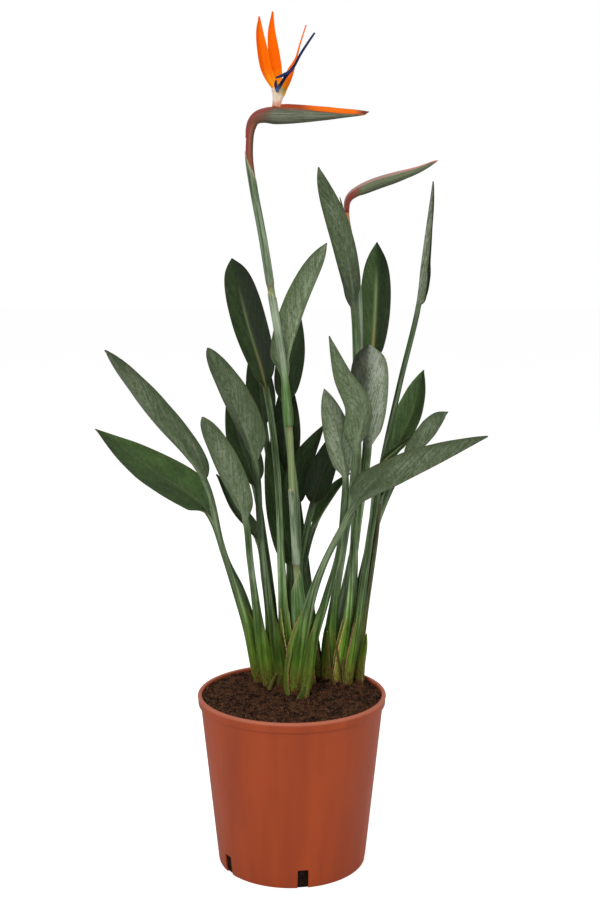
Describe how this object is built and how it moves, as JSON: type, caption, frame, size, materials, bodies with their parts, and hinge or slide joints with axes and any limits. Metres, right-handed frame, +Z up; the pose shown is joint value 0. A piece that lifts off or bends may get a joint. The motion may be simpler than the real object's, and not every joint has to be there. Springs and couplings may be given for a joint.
{
  "type": "potted flowering plant",
  "caption": "Bird of paradise plant in a round plastic nursery pot: clumps of long-stalked paddle-shaped leaves, an open orange and blue crested flower and a closed bud on tall stalks.",
  "frame": {"origin": "centre of the pot's underside, in the plane on which it stands", "axes": "+Z up along the pot's axis, +X to the right as the picture shows it, the way the flower's beak points, +Y to the back"},
  "size_m": [0.488, 0.27, 1.062],
  "materials": {
    "pot": "satin terracotta-coloured moulding",
    "soil": "rough crumbly potting mix",
    "leaf": "smooth waxy leaf, glossy above and pale below",
    "stalk": "smooth waxy stem",
    "spathe": "waxy grey-green with a red and orange edge",
    "flower_base": "soft cream",
    "sepals": "satin orange",
    "petals": "satin dark blue"
  },
  "bodies": {
    "root": {"pot": "pot", "soil": "soil", "leaf_left_outer_high": "leaf", "leaf_left_outer_low": "leaf", "leaf_left_middle": "leaf", "leaf_left_front_low": "leaf", "leaf_left_narrow": "leaf", "leaf_left_tall": "leaf", "leaf_centre_tall": "leaf", "leaf_centre_back": "leaf", "leaf_centre_back_low": "leaf", "leaf_left_back_high": "leaf", "leaf_left_back_low": "leaf", "leaf_centre_low": "leaf", "leaf_middle_back": "leaf", "leaf_middle_dark": "leaf", "leaf_middle_narrow": "leaf", "leaf_right_front_high": "leaf", "leaf_right_front_low": "leaf", "leaf_top": "leaf", "leaf_right_tall_back": "leaf", "leaf_right_arching": "leaf", "leaf_right_edge_on": "leaf", "leaf_right_silver": "leaf", "leaf_right_back_high": "leaf", "leaf_right_back_low": "leaf", "leaf_right_young": "leaf", "leaf_right_withered": "leaf", "sheath_front": "stalk", "sheath_right": "stalk", "flower_stalk": "stalk", "bud_stalk": "stalk", "flower_spathe": "spathe", "bud_spathe": "spathe", "flower_emerging": "sepals", "flower_base": "flower_base", "flower_sepals": "sepals", "flower_petals": "petals"}
  },
  "joints": []
}
